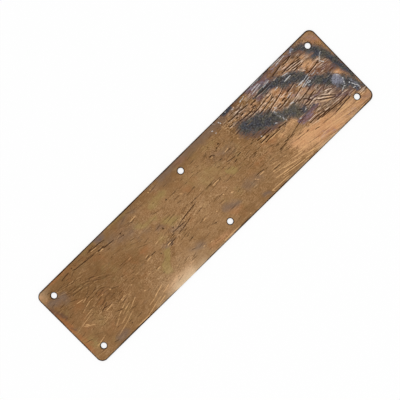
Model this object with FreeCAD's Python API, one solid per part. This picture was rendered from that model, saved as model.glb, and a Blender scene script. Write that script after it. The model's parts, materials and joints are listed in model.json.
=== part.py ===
# Door finger plate, also called a push plate: one flat piece of sheet brass, screwed to a door
# at hand height so that hands touch the metal and not the paint.
#
# Frame: the plate lies on its back with its front up. X is its width, Y its height on the door
# and Z its thickness. The origin is the middle of the back face, where it meets the door.
# All sizes are in millimetres.

import FreeCAD, Part
import math
import os

INCH = 25.4

# The sheet: a 12 inch length of 18 gauge brass, sheared a little under 3 inches wide.
plate_length = 12.0 * INCH
plate_width = 75.4
plate_thickness = 1.2
corner_radius = 5.6

# The screw holes: a row down each long side, drilled straight through, with no countersink.
hole_diameter = 4.8
hole_side_inset = 9.6
hole_end_inset = 11.2
holes_per_side = 3

# The front is buffed: its arris is round along the whole outline, and so is each hole's rim.
front_arris_round = 0.45
front_rim_round = 0.25

# The back meets the door and isn't buffed: only the burr of shears and drill is taken off.
back_burr_break = 0.12

# A round or break may take this share of the thickness, so that some straight wall is left.
WALL_SHARE = 0.45

# The way out of the front face, away from the door.
OUTWARD = FreeCAD.Vector(0, 0, 1)


def within_wall(size):
    """A round or break, held to its share of the sheet's thickness."""
    return min(size, WALL_SHARE * plate_thickness)


def spaced(first, last, count):
    """Evenly spaced places from first to last, or the middle where there is one place."""
    if count == 1:
        return [(first + last) / 2.0]
    step = (last - first) / (count - 1)
    return [first + index * step for index in range(count)]


def outline():
    """The sheared outline on the back face: four straight sides and four corner arcs."""
    reach_x = plate_width / 2.0 - corner_radius
    reach_y = plate_length / 2.0 - corner_radius
    centres = [(reach_x, reach_y), (-reach_x, reach_y), (-reach_x, -reach_y), (reach_x, -reach_y)]
    arcs = []
    for quarter, (x, y) in enumerate(centres):
        circle = Part.Circle(FreeCAD.Vector(x, y, 0), OUTWARD, corner_radius)
        start = quarter * math.pi / 2.0
        arcs.append(Part.Arc(circle, start, start + math.pi / 2.0))
    edges = []
    for arc, next_arc in zip(arcs, arcs[1:] + arcs[:1]):
        edges.append(arc.toShape())
        edges.append(Part.LineSegment(arc.EndPoint, next_arc.StartPoint).toShape())
    return Part.Wire(edges)


def holes():
    """The discs that the drill takes out: a row down each long side, from end to end."""
    row_x = plate_width / 2.0 - hole_side_inset
    end_y = plate_length / 2.0 - hole_end_inset
    discs = []
    for x in (-row_x, row_x):
        for y in spaced(-end_y, end_y, holes_per_side):
            circle = Part.Circle(FreeCAD.Vector(x, y, 0), OUTWARD, hole_diameter / 2.0)
            discs.append(Part.Face(Part.Wire(circle.toShape())))
    return discs


def blank():
    """The sheet as it is sheared and drilled, with every edge still sharp."""
    pierced = Part.Face(outline()).cut(holes()).Faces[0]
    return pierced.extrude(OUTWARD * plate_thickness)


def front(sheet):
    """The sheet's front face, the one furthest out."""
    return max(sheet.Faces, key=lambda face: face.CenterOfMass.z)


def back(sheet):
    """The sheet's back face, the one against the door."""
    return min(sheet.Faces, key=lambda face: face.CenterOfMass.z)


def rims(face):
    """The edges of the screw holes in a face."""
    around_holes = [wire for wire in face.Wires if not wire.isSame(face.OuterWire)]
    return [edge for wire in around_holes for edge in wire.Edges]


def finger_plate():
    """The whole plate, one solid: the blank with its front buffed and its back deburred."""
    plate = blank()
    plate = plate.makeFillet(within_wall(front_arris_round), front(plate).OuterWire.Edges)
    plate = plate.makeFillet(within_wall(front_rim_round), rims(front(plate)))
    back_edges = back(plate).OuterWire.Edges + rims(back(plate))
    plate = plate.makeChamfer(within_wall(back_burr_break), back_edges)
    return plate.Solids[0]


os.makedirs("parts", exist_ok=True)
plate = finger_plate()
plate.exportStep("parts/finger_plate.step")
print("finger_plate", "valid" if plate.isValid() else "NOT VALID", round(plate.Volume, 1), "mm3")
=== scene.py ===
import json
import math

import bpy
import numpy as np
from mathutils import Matrix, Vector


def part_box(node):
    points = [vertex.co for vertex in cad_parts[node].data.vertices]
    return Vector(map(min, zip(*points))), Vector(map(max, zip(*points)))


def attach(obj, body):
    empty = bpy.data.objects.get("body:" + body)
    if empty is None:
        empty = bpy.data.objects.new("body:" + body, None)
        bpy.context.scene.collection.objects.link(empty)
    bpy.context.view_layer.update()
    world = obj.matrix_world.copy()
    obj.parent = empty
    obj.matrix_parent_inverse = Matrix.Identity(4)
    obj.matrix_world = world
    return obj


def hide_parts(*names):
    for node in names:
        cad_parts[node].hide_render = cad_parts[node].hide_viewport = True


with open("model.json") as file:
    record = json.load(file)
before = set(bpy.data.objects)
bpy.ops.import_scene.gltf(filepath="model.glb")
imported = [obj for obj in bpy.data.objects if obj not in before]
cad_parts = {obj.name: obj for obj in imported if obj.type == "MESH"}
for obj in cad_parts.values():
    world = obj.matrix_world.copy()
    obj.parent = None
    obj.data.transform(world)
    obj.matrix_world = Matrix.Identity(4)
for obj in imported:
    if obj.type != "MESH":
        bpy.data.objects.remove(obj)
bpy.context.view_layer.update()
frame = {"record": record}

# A brass door finger plate that lies on its back. Along is the plate's length, its +Y, and the
# dark stained end is at the positive end. Across is its width, its +X. Sizes and places are in
# millimetres from the plate's middle, and a mesh is brought to metres when it is made.
toMetres = 0.001

lowCorner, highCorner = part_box("finger_plate")
halfAcross = highCorner.x / toMetres
halfAlong = highCorner.y / toMetres
thickness = (highCorner.z - lowCorner.z) / toMetres
screwHoles = [mount for mount in frame["record"]["mounts"] if mount["kind"] == "bore"]
holeRadius = screwHoles[0]["dims"]["r_mm"]
holeMiddles = [(mount["pos_m"][0] / toMetres, mount["pos_m"][1] / toMetres) for mount in screwHoles]

sheet = {
    "cornerRadius": 5.6,
    "arrisRound": 0.45,
    "rimRound": 0.25,
    "burrBreak": 0.12,
    "roundSteps": 4,      # rows of faces round an arris or a rim
    "acrossStep": 0.42,   # spacing of the front's grid
    "alongStep": 0.8,
    "ringCells": 6,       # a hole takes the place of this many cells to each side of its middle
    "ringReach": 12,      # and bends the grid out to this many
    "ringPace": 0.8,      # rings round a hole lie this many cells apart
    "backBorder": 0.6,    # strip round the back where two cells become one
    "waveDepth": 0.05,    # how far the worn face dips below flat
    "gougeDepth": 0.05,   # depth of the dark strokes
    "sharpAngle": 35,     # edges that turn by more degrees stay sharp
    "marksRight": -0.6,   # how far to the right of where they are written all marks lie
}


# Grid and outline

def stations(half, middles, reach, step, share):
    # Places from -reach to reach with one on each middle. Between these lies an even number of
    # equal steps, counted on the whole half size, and each coarser grid takes one in share.
    places = []
    whole = [-half, *middles, half]
    ends = [-reach, *middles, reach]
    for number, (low, high) in enumerate(zip(ends[:-1], ends[1:])):
        count = 2 * round((whole[number + 1] - whole[number]) / step / 2) // share
        places.append(np.linspace(low, high, count, endpoint=False))
    return np.append(np.concatenate(places), reach)


def smooth(low, high, value):
    # Rises from 0 at low to 1 at high, as three t squared less two t cubed.
    t = np.clip((value - low) / (high - low), 0, 1)
    return t * t * (3 - 2 * t)


def ringDirections(i, j):
    # Offsets counted in cells, given as the square ring that each is on and its place on a unit
    # circle: a quarter of a turn for each side of the square, in even steps.
    ring = np.maximum(np.maximum(np.abs(i), np.abs(j)), 1)
    wide = np.abs(i) >= np.abs(j)
    longer = np.where(wide, i, j)
    shorter = np.where(wide, j, i)
    safe = np.where(longer == 0, 1, longer)
    angle = math.pi / 4 * shorter / safe
    main = np.sign(longer) * np.cos(angle)
    side = np.sign(longer) * np.sin(angle)
    circle = np.stack([np.where(wide, main, side), np.where(wide, side, main)], -1)
    return ring, circle


def plateGrid(inset, ringRadius, share):
    # A flat grid in the plate's outline: straight lines, bent in each corner square so that its
    # two outer sides make one arc, x times the root of one less y squared over twice the radius
    # squared, and bent round each hole from a circle at the rim back to the square grid.
    reachAcross, reachAlong = halfAcross - inset, halfAlong - inset
    cornerRadius = sheet["cornerRadius"] - inset
    cells, reach = sheet["ringCells"] // share, sheet["ringReach"] // share
    ringStep = sheet["ringPace"] * share * sheet["acrossStep"]
    offsets = np.arange(-reach, reach + 1)
    holeX = sorted({x for x, y in holeMiddles})
    holeY = sorted({y for x, y in holeMiddles})
    xs = stations(halfAcross, holeX, reachAcross, sheet["acrossStep"], share)
    ys = stations(halfAlong, holeY, reachAlong, sheet["alongStep"], share)
    x, y = np.meshgrid(xs, ys, indexing="ij")
    u = np.maximum(np.abs(x) - (reachAcross - cornerRadius), 0)
    v = np.maximum(np.abs(y) - (reachAlong - cornerRadius), 0)
    shrinkU = u * np.sqrt(1 - v ** 2 / (2 * cornerRadius ** 2))
    shrinkV = v * np.sqrt(1 - u ** 2 / (2 * cornerRadius ** 2))
    points = np.stack([x - np.sign(x) * (u - shrinkU), y - np.sign(y) * (v - shrinkV)], -1)
    rings = []
    hollow = np.zeros((len(xs) - 1, len(ys) - 1), bool)
    for middle in holeMiddles:
        i0 = np.abs(xs - middle[0]).argmin()
        j0 = np.abs(ys - middle[1]).argmin()
        block = np.s_[i0 - reach:i0 + reach + 1, j0 - reach:j0 + reach + 1]
        i, j = np.meshgrid(offsets, offsets, indexing="ij")
        ring, circle = ringDirections(i, j)
        pull = 1 - smooth(cells, reach, ring)[..., None]
        radius = ringRadius + (ring[..., None] - cells) * ringStep
        circled = np.array(middle) + circle * radius
        points[block] = pull * circled + (1 - pull) * points[block]
        hollow[i0 - cells:i0 + cells, j0 - cells:j0 + cells] = True
        rings.append(ringPath(i0, j0, cells))
    return points, rings, hollow


def ringPath(i0, j0, cells):
    # The grid places on a square ring, one side after another, turning from across to along.
    run = np.arange(-cells, cells)
    still = np.full(2 * cells, cells)
    i = np.concatenate([run, still, -run, -still])
    j = np.concatenate([-still, run, still, -run])
    return i0 + i, j0 + j


def borderPath(shape):
    # The grid places round the border, in the same turn as ringPath.
    lastI, lastJ = shape[0] - 1, shape[1] - 1
    i = [np.arange(lastI), np.full(lastJ, lastI), np.arange(lastI, 0, -1), np.zeros(lastJ)]
    j = [np.zeros(lastI), np.arange(lastJ), np.full(lastI, lastJ), np.arange(lastJ, 0, -1)]
    return np.concatenate(i).astype(int), np.concatenate(j).astype(int)


# Faces between loops of points. A loop turns from across to along, seen from the front.

def gridFaces(index, hollow):
    # One quad to each cell that isn't hollow, facing up.
    quads = np.stack([index[:-1, :-1], index[1:, :-1], index[1:, 1:], index[:-1, 1:]], -1)
    return quads[~hollow]


def bandFaces(inner, outer):
    # Quads between two loops of as many points, facing up and away from the inner one.
    return np.stack([inner, outer, np.roll(outer, -1), np.roll(inner, -1)], -1)


def halvingFaces(fine, coarse):
    # Triangles between a loop and one of half as many points inside it, facing down.
    even, odd = fine[::2], fine[1::2]
    after, coarseAfter = np.roll(even, -1), np.roll(coarse, -1)
    return np.concatenate([
        np.stack([even, coarse, odd], -1),
        np.stack([odd, coarse, coarseAfter], -1),
        np.stack([odd, coarseAfter, after], -1),
    ])


class Shell:
    # Gathers blocks of points and faces of one closed mesh. Beside its place, each point keeps
    # where it lies when the sheet's edges are unfolded flat, for the texture map.
    def __init__(self):
        self.points = []
        self.unfolded = []
        self.quads = []
        self.triangles = []
        self.count = 0

    def add(self, flat, height, unfolded=None):
        # Adds points at a height, and gives their numbers laid out as the points are.
        flat = np.asarray(flat, float)
        height = np.broadcast_to(height, flat.shape[:-1])
        self.points.append(np.concatenate([flat, height[..., None]], -1).reshape(-1, 3))
        self.unfolded.append((flat if unfolded is None else unfolded).reshape(-1, 2))
        index = np.arange(self.count, self.count + height.size).reshape(height.shape)
        self.count += height.size
        return index


# Marks on the worn front. Their places are written as along, across.

def softNoise(x, y, size, seed):
    # Smooth noise from -1 to 1: random values on a lattice of that size, blended between
    # lattice points by smooth steps. A pair of sizes stretches it. The plate's middle lies some
    # steps into the lattice, which repeats.
    count, middle = 256, 100
    sizeX, sizeY = size if isinstance(size, tuple) else (size, size)
    table = np.random.default_rng(seed).uniform(-1, 1, (count, count))
    gx, gy = x / sizeX + middle, y / sizeY + middle
    i, j = np.floor(gx).astype(int), np.floor(gy).astype(int)
    fx, fy = smooth(0, 1, gx - i), smooth(0, 1, gy - j)
    i, j, nextI, nextJ = i % count, j % count, (i + 1) % count, (j + 1) % count
    low = table[i, j] * (1 - fx) + table[nextI, j] * fx
    high = table[i, nextJ] * (1 - fx) + table[nextI, nextJ] * fx
    return low * (1 - fy) + high * fy


def nearLine(x, y, line, bow=0.0):
    # Distance to a line, and how far along it the nearest point is as a share t. The line bows
    # to one side by four times its bow times t times one less t.
    y0, x0, y1, x1 = line
    dx, dy = x1 - x0, y1 - y0
    length = math.hypot(dx, dy) + 1e-9
    share = ((x - x0) * dx + (y - y0) * dy) / length ** 2
    held = np.clip(share, 0, 1)
    lift = 4 * bow * held * (1 - held)
    offX = x - (x0 + held * dx) + lift * dy / length
    offY = y - (y0 + held * dy) - lift * dx / length
    return np.hypot(offX, offY), held


def patches(x, y, rows):
    # Patches with a wide edge: each is 1 on a line, a half at its reach from it and 0 at twice
    # that; the strongest wins. A row is along, across, along, across, reach, strength.
    mask = np.zeros_like(x)
    for *line, reach, strength in rows:
        distance, _ = nearLine(x, y, line)
        mask = np.maximum(mask, strength * np.clip(1 - 0.5 * distance / reach, 0, 1))
    return mask


def strokes(x, y, rows, width, strength, ends):
    # Thin marks: each falls off as the exponent of minus its distance over its width, squared,
    # and narrows to a share of its width at both ends; the strongest wins. A row is along,
    # across, along, across, how far it bows to one side, and its own strength.
    mask = np.zeros_like(x)
    for *line, bow, own in rows:
        margin = 3 * width + abs(bow)
        y0, x0, y1, x1 = line
        near = (y > min(y0, y1) - margin) & (y < max(y0, y1) + margin)
        near &= (x > min(x0, x1) - margin) & (x < max(x0, x1) + margin)
        distance, share = nearLine(x[near], y[near], line, bow)
        taper = ends + (1 - ends) * np.sqrt(np.maximum(4 * share * (1 - share), 0))
        drawn = own * strength * taper * np.exp(-((distance / (width * taper)) ** 2))
        mask[near] = np.maximum(mask[near], drawn)
    return mask


def scattered(zone):
    # Seeded strokes in a zone, as rows for strokes. Their middles step round the zone by two
    # shares that never repeat, so that they spread evenly, and their leans and lengths vary
    # about the zone's own.
    stepAlong, stepAcross = 0.7549, 0.5698
    rng = np.random.default_rng(zone["seed"])
    rows = []
    for number in range(zone["count"]):
        y = np.interp((stepAlong * number + rng.normal(0, 0.02)) % 1, (0, 1), zone["along"])
        x = np.interp((stepAcross * number + rng.normal(0, 0.01)) % 1, (0, 1), zone["across"])
        lean = zone["lean"] + rng.normal(0, zone["vary"])
        half = rng.uniform(*zone["length"]) / 2
        bow = rng.normal(0, 0.04) * half
        own = rng.uniform(0.35, 1.0)
        rows.append((y - half, x - half * lean, y + half, x + half * lean, bow, own))
    return rows


sweeps = [
    # Bundles of long curved scratches: how many lie beside each other, how far apart, how
    # strongly they show, and points that the middle one passes
    dict(seed=51, count=5, apart=1.7, strength=0.5,
         points=[(-137, -25), (-125, -20.6), (-113, -16.4), (-104, -12), (-96, -8)]),
    dict(seed=52, count=5, apart=1.6, strength=0.42,
         points=[(-138, -18), (-126, -16.4), (-113, -13), (-103, -7)]),
    dict(seed=53, count=4, apart=1.7, strength=0.5,
         points=[(-134, -2), (-123, -5.6), (-113, -7), (-106, -4.6), (-103, 0.4), (-103.6, 5)]),
    dict(seed=83, count=4, apart=1.5, strength=0.5, points=[(-123, 6.6), (-116, 4), (-109, 3)]),
    dict(seed=84, count=3, apart=1.8, strength=0.35, points=[(-130, -12), (-120, -11), (-110, -12)]),
    dict(seed=54, count=5, apart=1.7, strength=0.5,
         points=[(-129, 27), (-117, 21.6), (-103, 16), (-93, 12)]),
    dict(seed=85, count=4, apart=1.8, strength=0.35, points=[(-116, 30), (-104, 26), (-92, 22)]),
    dict(seed=86, count=3, apart=1.7, strength=0.6, points=[(-118, -31.6), (-98, -29.4), (-79, -25.6)]),
    dict(seed=56, count=6, apart=1.35, strength=0.45, points=[(-124, 3), (-116, 2.4), (-109, 0.6)]),
    dict(seed=57, count=4, apart=1.2, strength=0.45, points=[(-112, 14), (-106, 12.6), (-99, 12)]),
    dict(seed=58, count=4, apart=1.5, strength=0.6, points=[(-102, 37), (-90, 34.4), (-76, 30)]),
    dict(seed=59, count=4, apart=1.5, strength=0.5,
         points=[(-134, -33.4), (-116, -33), (-98, -31.6), (-80, -28)]),
    dict(seed=60, count=4, apart=1.5, strength=0.5, points=[(-138, -27), (-128, -24.4), (-116, -21.6)]),
    dict(seed=78, count=5, apart=1.5, strength=0.6, points=[(132, -12), (138, -9), (146, -8)]),
    dict(seed=79, count=4, apart=1.5, strength=0.6, points=[(130, -6), (136, -2), (142, -4)]),
    dict(seed=80, count=4, apart=1.8, strength=0.35, points=[(20, -30), (34, -31), (48, -33)]),
    dict(seed=81, count=4, apart=1.6, strength=0.4, points=[(-4, 33), (12, 33.6), (30, 32)]),
]

patchMarks = {
    # Rows for patches: along, across, along, across, reach and strength
    "stain": [   # blue-black stains
        (61, -15.6, 66, -14.6, 6.2, 1.0), (65, -14, 74, -11, 7.0, 1.0), (72, -10.6, 80, -7, 6.0, 1.0),
        (79, -6.4, 88, -3.8, 5.2, 0.85), (86, -3, 97, 1.2, 5.3, 0.95), (94, 2.6, 105, 6, 4.2, 0.8),
        (102, 7, 113, 9, 1.8, 0.7), (92, -28, 104, -25, 4.6, 0.95), (103, -25, 109, -21, 4.4, 1.0),
        (109, -20, 119, -15, 4.8, 1.0), (117, -15, 121, -11, 2.2, 1.0), (121, -7, 130, -4, 3.4, 1.0),
        (127, -2, 136, 2, 4.2, 0.9), (133, 4, 141, 12, 4.4, 1.0), (141, 13, 147, 21, 3.2, 1.0),
        (146, 14, 150, 22, 2.4, 0.8), (128, -35, 136, -30, 3.0, 0.7), (136, -30, 142, -22, 3.6, 0.85),
        (141, -20, 146, -13, 4.2, 0.95), (146, -14, 150, -3, 4.4, 0.95), (150, -3, 151, 12, 2.6, 0.9),
        (151, 12, 151, 25, 1.6, 0.75), (57.5, -36, 61.5, -35, 2.0, 1.1), (-87, -36, -84, -34, 2.2, 0.45),
        (80, -28.2, 103, -27.6, 0.7, 0.9), (62, -37, 104, -37, 0.8, 0.8),
    ],
    "murk": [   # brownish grey round the stains
        (57, -36, 66, -32, 2.6, 0.9), (100, -31, 128, -31.5, 1.8, 0.7), (86, -28, 100, -23, 2.8, 0.9),
        (131, -34, 137, -24, 3.6, 1.0), (128, -9, 145, -3, 3.8, 1.0), (118, -3, 131, 3, 3.0, 0.9),
        (64, -36, 104, -36, 1.8, 0.9), (112, 3, 132, 4, 2.0, 0.6), (130, 8, 136, 16, 2.6, 0.7),
        (132, 14, 143, 22, 3.8, 0.8), (110, 20.5, 142, 24, 1.8, 0.5), (144, 18, 150, 26, 3.0, 0.8),
        (104, 7, 114, 10, 2.0, 0.9), (62, -6, 82, 0, 2.6, 0.9), (80, -14, 92, -10, 2.4, 0.7),
        (55, -17, 60, -8, 2.6, 0.8), (106, -16, 112, -10, 2.4, 0.7), (143, -20, 150, 0, 4.0, 0.9),
        (147, 6, 151, 20, 2.0, 0.8), (96, -8, 104, 0, 2.4, 0.6), (-149, -20, -147.5, -9, 2.2, 0.8),
        (-149, 0, -148, 5, 1.4, 0.7), (-112, -4, -106, 3, 3.0, 0.35), (-44, -9, -39, -5, 2.4, 0.5),
    ],
    "plum": [   # purplish tint
        (83, -34.5, 98, -32, 4.4, 1.0), (97, 13, 106, 14.5, 2.2, 0.8), (146, -33, 150, -28, 2.6, 0.4),
        (86, -26, 102, -24, 3.0, 0.8), (106, -35, 126, -33, 3.0, 0.5), (118, -4, 134, 0, 3.0, 0.6),
        (112, -30, 128, -20, 3.0, 0.4), (136, -8, 146, -2, 3.0, 0.6), (104, -8, 112, -4, 2.4, 0.5),
        (130, 16, 140, 22, 3.0, 0.6), (104, 31, 110, 34, 2.0, 0.5), (66, -4, 80, 1, 2.0, 0.5),
        (96, 10.5, 114, 11, 2.4, 1.0), (60, -5, 70, -3, 2.0, 0.35), (110, 3, 126, 5, 1.8, 0.6),
        (134, -12, 144, -2, 4.0, 0.5), (148, 4, 150, 10, 2.0, 0.6), (-147, 5, -146, 5, 1.6, 0.4),
        (126, 34, 132, 34, 2.4, 0.4), (100, 31, 104, 34, 2.0, 0.4),
    ],
    "haze": [   # grey film
        (116, 32, 148, 33, 6.0, 0.2), (104, 30, 116, 34, 5.0, 0.14), (136.4, 7.4, 139.4, 7, 2.8, 1.2),
        (97, -33, 99, -31, 1.6, 0.4), (139, 5, 142, 7, 1.8, 1.0), (138, 10, 141, 10.6, 1.6, 0.9),
        (108, -34.6, 126, -34.2, 1.6, 0.4), (114, -9.6, 125, -8.6, 2.2, 0.3),
        (128, -34.6, 131, -34, 1.4, 0.8), (82, -35, 98, -32, 2.2, 0.5), (146, 16, 148, 22, 1.6, 0.6),
        (84, -10, 88, 0, 1.2, 0.4),
    ],
    "gold": [   # rubbed bare to golden metal
        (64, -26, 80, -24, 2.4, 0.8), (76, -18, 98, -20, 3.4, 0.7), (88, -12, 104, -13, 3.0, 0.7),
        (104, -6, 118, -1, 3.6, 0.9), (108, -28, 138, -24, 3.6, 0.9), (124, -19, 138, -15, 4.2, 0.9),
        (79, 8, 90, 8, 3.6, 0.55), (84, 25, 116, 27, 7.0, 0.85), (118, 28, 134, 29.5, 5.0, 0.8),
        (68, 29, 84, 26, 7.0, 0.35), (77, 12, 90, 12, 5.0, 0.32), (116, 8, 130, 15, 3.4, 0.65),
        (104, 4, 118, 5, 2.2, 0.9), (60, 33, 80, 33, 4.0, 0.3), (96, 32, 126, 33, 6.0, 0.8),
        (128, 33, 148, 33, 5.0, 0.7), (92, 26, 112, 30, 5.0, 1.2), (-151, -36, -149, -30, 3.0, 0.8),
        (144, 2, 147, 8, 1.8, 1.0), (145, -35, 150, -27, 3.6, 0.6), (144, 33, 150, 33, 3.6, 0.8),
        (-72, 33, -48, 32, 6.0, 0.5), (-22, 33, -8, 34, 3.0, 0.5), (79, 20.5, 112, 23, 5.5, 0.8),
    ],
    "light": [   # lighter brown
        (-40, -4, 8, 6, 22.0, 1.0), (-70, 26, -20, 22, 12.0, 0.8), (60, 12, 88, 12, 10.0, 1.0),
        (30, 22, 54, 26, 7.0, 0.6), (36, 24, 70, 28, 10.0, 0.4),
    ],
    "warm": [   # rusty tint
        (128, -10, 146, -4, 4.0, 0.8), (122, 20, 142, 22, 2.0, 0.6), (104, 30, 112, 34, 2.4, 0.8),
        (-150, -10, -100, 0, 20.0, 0.2), (-130, -13, -122, -7, 3.5, 0.22), (-70, -4, -63, -1, 3.0, 0.55),
        (-79, -4, -75, 0, 2.5, 0.5), (-24, 33, -7, 34, 3.0, 0.4), (-150, -6, -149, -1, 2.0, 1.1),
        (-150, 8, -149, 24, 2.0, 0.9), (-151, 1, -150, 6, 1.6, 1.2), (-151, -18, -150, -8, 2.0, 0.8),
        (-142, -37, -120, -37, 1.8, 0.8), (-22, 34, -12, 34, 3.0, 0.4), (102, -15.5, 106, -15, 1.7, 1.2),
        (146, -32, 151, -26, 3.0, 0.7), (8, 26, 14, 28, 4.0, 0.6), (100, 30, 112, 35, 3.0, 0.7),
        (145, 2, 148, 7, 1.8, 0.7), (142, 31, 150, 33, 3.0, 0.7), (-8, -16, 0, -16, 4.0, 0.5),
        (60, 4, 78, 7, 3.0, 0.6), (98, -16, 110, -12, 3.0, 0.6), (98, 13, 108, 16, 2.6, 0.7),
        (135, -9, 142, -6, 3.0, 0.7), (0, -34, 8, -33, 2.4, 0.6), (50, 10, 62, 12, 3.0, 0.5),
        (84, 22, 120, 24, 5.0, 0.5), (-118, -34, -104, -32, 3.0, 0.5),
    ],
    "olive": [   # greenish tint
        (27, -2, 31, 2, 1.7, 1.2), (-62, 22, -52, 10, 2.6, 1.4), (-38, -25, -22, -25, 3.2, 0.95),
        (-56, -21, -49, -17, 2.6, 0.8), (-47, -17, -42, -15, 2.4, 0.8), (-37, -7, -30, -3, 3.0, 0.9),
        (-142, 6, -130, 16, 6.0, 0.2), (-146, 16, -144, 26, 2.4, 0.7), (-70, -37, -54, -36, 2.4, 0.6),
        (-100, -36, -92, -36, 2.6, 0.6), (89, -3, 100, 2, 3.4, 1.0), (70, -12, 80, -8, 4.0, 0.2),
        (30, -20, 44, -10, 6.0, 0.25), (12, 16, 30, 20, 6.0, 0.2), (104, -3, 118, 2, 3.0, 0.4),
        (-96, -16, -86, -10, 4.0, 0.4), (12, -28, 36, -26, 5.0, 0.2), (4, -12, 20, -6, 7.0, 0.35),
        (-48, 0, -42, 4, 3.0, 0.4),
    ],
    "shade": [   # darker brown
        (-108, -34, -62, -31, 7.0, 0.7), (-98, -16, -72, -2, 10.0, 0.7), (-14, -32, 16, -33, 6.0, 1.0),
        (-124, -6, -104, 6, 6.0, 0.9), (-92, -36, -60, -35, 4.0, 0.5), (76, -22, 98, -12, 3.0, 0.5),
        (-150, -14, -100, -12, 14.0, 0.9), (-150, 20, -104, 24, 12.0, 0.4),
        (-4, -36, 56, -35.5, 4.5, 1.2), (58, -36, 130, -30, 5.0, 0.9), (26, 0, 50, 4, 9.0, 0.35),
        (30, 24, 56, 26, 8.0, 0.4), (84, -27, 112, -28, 3.0, 1.0), (-112, -4, -106, 4, 5.0, 1.0),
        (-144, -27, -128, -24, 5.5, 0.9), (-128, -27, -110, -24, 4.0, 0.7),
        (-150, -30, -100, -34, 8.0, 0.7), (-150, 0, -96, 0, 16.0, 0.45), (-146, -22, -145, -14, 2.0, 0.8),
        (-96, -34, 60, -35, 5.0, 0.7), (30, -14, 58, -10, 7.0, 0.35), (-34, 24, -24, 24, 3.0, 0.7),
        (-130, 34, -120, 32, 5.0, 0.6), (12, 32, 40, 34, 4.0, 0.6), (44, -18, 58, -20, 5.0, 0.6),
        (55, -8, 70, -3, 3.0, 0.8), (128, -10, 144, -2, 4.0, 1.0), (120, 4, 132, 10, 4.0, 0.9),
        (-100, 18, -84, 24, 6.0, 0.4), (118, 20, 142, 22, 2.4, 0.8), (60, -30, 76, -29, 4.0, 0.7),
        (100, -34, 126, -32, 4.0, 0.7),
    ],
    "dull": [   # greyish tint
        (-147, -25, -137, -20, 3.5, 0.9), (-128, 33, -122, 34, 3.0, 0.8), (-88, -35, -82, -34, 2.5, 1.2),
        (-78, -26, -60, -20, 7.0, 0.55), (-66, -31, -50, -32, 4.0, 0.5), (-62, -14, -50, -12, 4.0, 0.4),
        (-52, 6, -44, 8, 2.5, 0.7), (-45, -8, -40, -5, 2.5, 0.5), (-38, 2, -30, 5, 3.0, 0.55),
        (-36, 24, -29, 26, 3.0, 0.65), (-26, -33, -10, -30, 4.0, 0.4), (6, 19, 13, 22, 3.0, 0.9),
        (30, 18, 40, 20, 4.0, 0.6), (34, 33, 37, 34, 2.0, 0.9), (-14, -35, 54, -34, 4.0, 0.8),
        (26, -16, 40, -12, 5.0, 0.5), (60, -28, 74, -26, 3.0, 0.6), (116, 9, 134, 18, 6.5, 1.1),
        (108, 17, 130, 20, 4.0, 0.5), (122, -28, 134, -20, 4.0, 0.5), (142, 31, 150, 34, 3.0, 0.7),
        (120, 24, 136, 28, 4.0, 0.45), (104, -4, 116, 3, 4.0, 0.9), (144, -35, 151, -29, 4.0, 0.7),
    ],
    "leftward": [   # where the brushing turns to the left
        (78, -16, 112, -10, 9.0, 1.0), (98, -6, 120, 4, 8.0, 1.0), (-52, 8, -8, 0, 12.0, 0.9),
        (-128, 26, -100, 14, 10.0, 1.0), (-112, 34, -60, 30, 8.0, 1.0), (-4, -4, 20, -2, 8.0, 0.5),
    ],
    "rightward": [   # where it turns to the right
        (104, -30, 140, -24, 7.0, 1.0), (56, 26, 146, 32, 12.0, 1.0), (-136, -22, -108, -18, 8.0, 1.0),
        (112, 8, 134, 16, 6.0, 1.0), (-110, -32, -84, -28, 6.0, 0.6),
    ],
    "busy": [   # where the speckle is strong
        (56, -26, 140, -24, 9.0, 1.2), (78, -16, 136, -12, 11.0, 1.2), (96, -4, 134, 6, 10.0, 1.2),
        (98, 16, 140, 20, 5.0, 1.0), (70, 13, 84, 14, 4.0, 0.4), (78, 26, 146, 31, 9.0, 0.42),
        (96, 25, 146, 31, 7.0, 0.35), (-60, -30, 50, 30, 30.0, 0.3), (-140, -20, -60, 20, 26.0, 0.34),
        (30, -20, 56, 10, 16.0, 0.4), (58, -3, 84, 4, 4.0, 0.7), (28, -8, 46, -3, 5.0, 0.4),
        (-46, 6, -12, 0, 8.0, 0.5), (-124, 10, -102, 6, 10.0, 0.5), (-100, -33, -84, -30, 4.0, 0.4),
        (-136, -24, -112, -18, 5.0, 0.4), (134, -12, 150, 24, 8.0, 1.0),
    ],
}

reflection = [
    # A painted reflection, pale light along the right edge, and the worn corner, as rows for patches
    (-64, 41, -52, 41, 7.0, 1.0), (-73, 41, -38, 41, 5.0, 0.66), (-86, 40.5, -26, 40.5, 3.2, 0.4),
    (-68, 38, -40, 38, 11.0, 0.2), (-30, 39.5, 0, 39.5, 1.8, 0.5), (56, 39.5, 76, 39.5, 1.8, 0.5),
    (92, 39.5, 116, 39.5, 2.2, 0.6), (126, 39.5, 136, 39.5, 2.0, 0.5), (-150, -39, -146, -36, 4.0, 0.25),
]

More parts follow.
